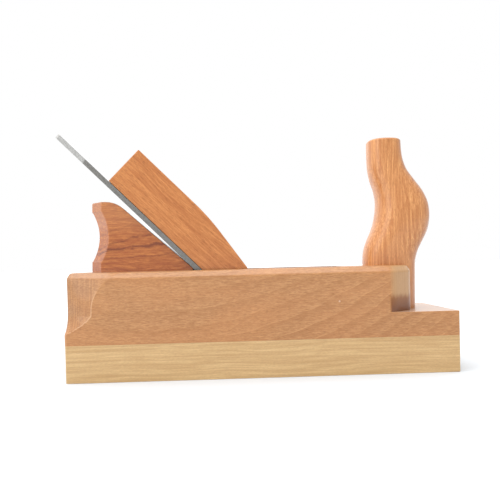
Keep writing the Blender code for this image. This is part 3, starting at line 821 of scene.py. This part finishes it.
def deck_highlight_and_throat_shade(n, tone):
    """The deck at the toe paled towards white as a painted highlight, and the throat's walls darkened as
    painted shade.
    """
    along, across, height = n.split(n.point)
    upward = n.between(n.vector("DOT_PRODUCT", n.normal, (0, 0, 1)), 0.90, 0.99)
    # painted highlight: the deck's upward faces paled towards white
    deck = n.product(upward, n.between(height, DECK_TOP + 0.0002, DECK_TOP + 0.0008, 0.25, 0.0))
    tone = n.mix(deck, tone, linear(222, 214, 208))
    # painted shade: the throat's upright walls darkened
    half = THROAT_WIDTH / 2
    throat_wall_shade = n.math("SUBTRACT", n.between(n.math("ABSOLUTE", across), half + 0.0001, half + 0.0004, 0.62, 0.0),
                  upward, clamp=True)
    throat_wall_shade = n.product(throat_wall_shade, n.between(along, THROAT_FRONT, THROAT_FRONT + 0.0005, 1.0, 0.0),
                     n.between(along, -0.0800, -0.0750))
    return n.mix(throat_wall_shade, tone, linear(84, 52, 30))


def rest_marks(n, tone):
    """Long dark streaks that rise towards the iron across the lower half of the hand rest, and the
    paler wood of its upper half."""
    along, _, height = n.split(n.point)
    wander = n.math("SUBTRACT", n.noise_over((95, 60, 70), 3.0, 0.6), 0.5)
    wander = n.math("MULTIPLY", wander, 0.007)
    ragged = n.between(n.noise_over((170, 400, 900), 2.0, 0.6), 0.32, 0.58, 0.25, 1.0)
    run = n.math("SUBTRACT", along, REST_LOW.x + 0.011)
    for base, rise, width, strength in ((0.0742, 0.05, 0.0005, 0.45), (0.0790, 0.12, 0.0008, 1.0),
                                        (0.0826, 0.25, 0.0006, 0.85), (0.0905, 0.28, 0.0005, 0.4)):
        level = n.math("ADD", n.math("SUBTRACT", height, n.math("MULTIPLY", run, rise)), wander)
        away = n.math("ABSOLUTE", n.math("SUBTRACT", level, base))
        mask = n.product(n.between(away, width * 0.3, width * 1.8, 1.0, 0.0), ragged, strength)
        tone = n.mix(mask, tone, n.mix(1.0, tone, (0.50, 0.36, 0.24), "MULTIPLY"))
    return n.mix(n.between(height, 0.0840, 0.1020, 0.0, 0.18), tone, linear(204, 150, 104))


def horn_front_shade(n, tone):
    """The front of the horn, the faces turned towards the toe, darkened as painted shade."""
    forward = n.vector("DOT_PRODUCT", n.normal, (1, 0, 0))
    # painted shade on the horn's faces turned towards the toe
    return n.mix(n.between(forward, 0.25, 0.90, 0.0, 0.42), tone, linear(146, 84, 50))


def iron_steel():
    """Dull dark edges and brighter ground faces, with the top end of the edges left bright."""
    n = Nodes("ground_tool_steel")
    up, off = (n.vector("DOT_PRODUCT", n.point, axis) for axis in (UP_BED, OFF_BED))
    brushed = n.add("CombineXYZ")
    n.link(n.math("MULTIPLY", up, 120.0), brushed.inputs["X"])
    n.link(n.math("MULTIPLY", n.split(n.point)[1], 5200.0), brushed.inputs["Y"])
    n.link(n.math("MULTIPLY", off, 5200.0), brushed.inputs["Z"])
    scratches = n.noise(brushed.outputs["Vector"], 4.0, 0.65)
    blotches = n.between(n.noise_over((90, 90, 90), 3.0, 0.6), 0.3, 0.7)
    grit = n.noise_over((900, 900, 900), 2.0, 0.6)
    mottle = n.between(grit, 0.3, 0.7)
    edge = n.between(n.facing(OFF_BED), 0.3, 0.7, 1.0, 0.0)
    ragged_up = n.math("ADD", up, n.math("MULTIPLY", grit, 0.0012))
    bright = n.between(ragged_up, IRON_TOP - IRON_BRIGHT_END - 0.001, IRON_TOP - IRON_BRIGHT_END)
    dull = n.mix(mottle, linear(118, 116, 112), linear(134, 132, 128))
    bare = n.mix(mottle, linear(168, 167, 164), linear(186, 185, 182))
    ground = n.mix(blotches, linear(178, 179, 181), linear(198, 199, 201))
    tone = n.mix(edge, ground, n.mix(bright, dull, bare))
    tone = n.mix(n.between(scratches, 0.40, 0.75, 0.0, 0.12), tone, linear(96, 96, 96))
    n.link(tone, n.shader.inputs["Base Color"])
    n.shader.inputs["Metallic"].default_value = 0.9
    gloss = n.math("ADD", n.math("MULTIPLY", edge, 0.30), n.between(scratches, 0.2, 0.8, 0.14, 0.26))
    n.link(gloss, n.shader.inputs["Roughness"])
    n.bump(scratches, 0.10, 0.00002)
    return n.material


def screw_steel():
    n = Nodes("turned_screw_steel")
    turning = n.noise_over((200, 200, 6000), 2.0, 0.5)
    n.link(n.mix(n.between(turning, 0.3, 0.7), linear(170, 170, 172), linear(205, 205, 206)),
           n.shader.inputs["Base Color"])
    n.shader.inputs["Metallic"].default_value = 1.0
    n.link(n.between(turning, 0.2, 0.8, 0.22, 0.40), n.shader.inputs["Roughness"])
    return n.material


# ---- studio ------------------------------------------------------------------------------------
def make_floor():
    """A pale floor that glows a little further out, so that it stays white up to the horizon."""
    edited = bmesh.new()
    bmesh.ops.create_grid(edited, x_segments=1, y_segments=1, size=8.0)
    floor = add_object("studio_floor", mesh_from(edited, "studio_floor"))
    n = Nodes("white_floor")
    n.shader.inputs["Base Color"].default_value = (0.66, 0.69, 0.72, 1.0)
    n.shader.inputs["Roughness"].default_value = 0.7
    n.shader.inputs["Specular IOR Level"].default_value = 0.1
    n.shader.inputs["Emission Color"].default_value = (1.0, 1.0, 1.0, 1.0)
    distance = n.vector("LENGTH", n.point)
    n.link(n.between(distance, 0.2, 1.1, 0.06, 0.75), n.shader.inputs["Emission Strength"])
    floor.data.materials.append(n.material)


def make_light(name, location, aim, size, power):
    """A rectangular softbox that faces the place aimed at."""
    light = bpy.data.lights.new(name, "AREA")
    light.shape = "RECTANGLE"
    light.size, light.size_y = size
    light.energy = power
    obj = bpy.data.objects.new(name, light)
    bpy.context.scene.collection.objects.link(obj)
    obj.location = location
    obj.rotation_mode = "QUATERNION"
    obj.rotation_quaternion = (Vector(aim) - Vector(location)).to_track_quat("-Z", "Y")


def make_world(dim, bright):
    """A white room, brightest behind the object and to its left, seen as plain white."""
    world = bpy.data.worlds.new("white_room")
    world.use_nodes = True
    tree = world.node_tree
    background = tree.nodes["Background"]
    background.inputs["Color"].default_value = (1.0, 1.0, 1.0, 1.0)
    direction = tree.nodes.new("ShaderNodeTexCoord")
    toward = tree.nodes.new("ShaderNodeVectorMath")
    toward.operation = "DOT_PRODUCT"
    toward.inputs[1].default_value = (-0.60, 0.72, 0.35)
    ramp = tree.nodes.new("ShaderNodeMapRange")
    for key, value in (("From Min", -1.0), ("From Max", 1.0), ("To Min", dim), ("To Max", bright)):
        ramp.inputs[key].default_value = value
    seen = tree.nodes.new("ShaderNodeLightPath")
    choose = tree.nodes.new("ShaderNodeMix")
    choose.inputs["B"].default_value = 1.0
    tree.links.new(direction.outputs["Generated"], toward.inputs[0])
    tree.links.new(toward.outputs["Value"], ramp.inputs["Value"])
    tree.links.new(seen.outputs["Is Camera Ray"], choose.inputs["Factor"])
    tree.links.new(ramp.outputs["Result"], choose.inputs["A"])
    tree.links.new(choose.outputs["Result"], background.inputs["Strength"])
    bpy.context.scene.world = world


def make_camera():
    """Just above the body's top, square to its right side, turned and tilted by about a degree."""
    yaw, pitch, roll = math.radians(1.89), math.radians(-1.29), math.radians(1.40)
    camera = bpy.data.objects.new("camera", bpy.data.cameras.new("camera"))
    bpy.context.scene.collection.objects.link(camera)
    camera.data.sensor_width = 36.0
    camera.data.lens = 38.6
    camera.data.shift_y = 0.0488
    camera.data.clip_start, camera.data.clip_end = 0.01, 50.0
    turn = (Matrix.Rotation(-yaw, 4, "Z") @ Matrix.Rotation(math.radians(90) + pitch, 4, "X")
            @ Matrix.Rotation(-roll, 4, "Z"))
    camera.matrix_world = Matrix.Translation((-0.0187, -0.3547, 0.0702)) @ turn
    bpy.context.scene.camera = camera


def make_studio():
    make_floor()
    make_world(0.58, 1.45)
    make_light("overhead_softbox", (-0.2, -0.15, 1.3), (0, 0, 0.05), (1.6, 1.2), 15.0)
    make_light("left_softbox", (-1.2, -0.9, 0.6), (0, 0, 0.08), (0.9, 0.9), 4.8)
    make_camera()
    bpy.context.scene.view_settings.view_transform = "Standard"


# ---- the object --------------------------------------------------------------------------------
def make_woods():
    body = wood("oiled_body_beech", "length", linear(202, 150, 98), linear(160, 104, 58), 1, (20, -60),
                body_marks, ring_spacing=8.5, ring_taper=-0.259, ring_curve=-0.0019, ring_depth=0.50,
                ring_waver=0.9, wander=2.4, patch_depth=0.6, seam_depth=0.6, heel_fade=0.45,
                fibre_length=4.2, fibre_width=0.70, fibre_depth=0.62, streak_depth=0.08,
                fleck_depth=0.36, tint=linear(202, 138, 84), tint_depth=0.30)
    sole = wood("oiled_hornbeam", "length", linear(226, 192, 140), linear(188, 149, 98), 2, (6, -70),
                ring_spacing=2.8, ring_depth=0.30, wander=3.0, fibre_length=24, fibre_width=0.9,
                streak_length=110, streak_width=1.5, streak_depth=0.75, fleck_depth=0.05)
    horn = wood("oiled_horn_beech", "up", linear(240, 178, 116), linear(174, 106, 56), 3, (40, 30),
                horn_front_shade, ring_depth=0.32, fibre_length=22, fibre_width=0.65, fibre_depth=0.5,
                streak_length=70, streak_width=1.5, streak_depth=0.6, fleck_depth=0.35)
    rest = wood("oiled_rest_beech", "length", linear(205, 129, 60), linear(148, 70, 20), 4, (30, -20),
                rest_marks, coat=1.0, coat_roughness=0.04, ring_depth=0.45, fibre_depth=0.7,
                streak_depth=0.45, streak_length=30, wander=7.0, fleck_depth=0.30, end_depth=0.2)
    wedge = wood("oiled_wedge_beech", "bed", linear(218, 147, 84), linear(168, 96, 45), 5, (60, 40),
                 ring_depth=0.30, fibre_length=14, streak_depth=0.5, fleck_length=5.0, fleck_depth=0.5)
    dowel = wood("turned_dowel_beech", "up", linear(206, 162, 118), linear(176, 128, 86), 6, (12, 8))
    return body, sole, horn, rest, wedge, dowel


def repaint(node, material):
    """Gives a CAD node that is shown as it is a material."""
    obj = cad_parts[node]
    obj.data.materials.clear()
    obj.data.materials.append(material)


def main():
    body, sole, horn, rest, wedge, dowel = make_woods()
    make_body(body)
    make_sole(sole)
    make_horn(horn)
    make_rest(rest)
    make_iron(iron_steel())
    make_wedge(wedge)
    for name in ("hand_rest_dowel_front", "hand_rest_dowel_rear"):
        repaint(name, dowel)
    repaint("horn_screw", screw_steel())
    make_studio()


main()
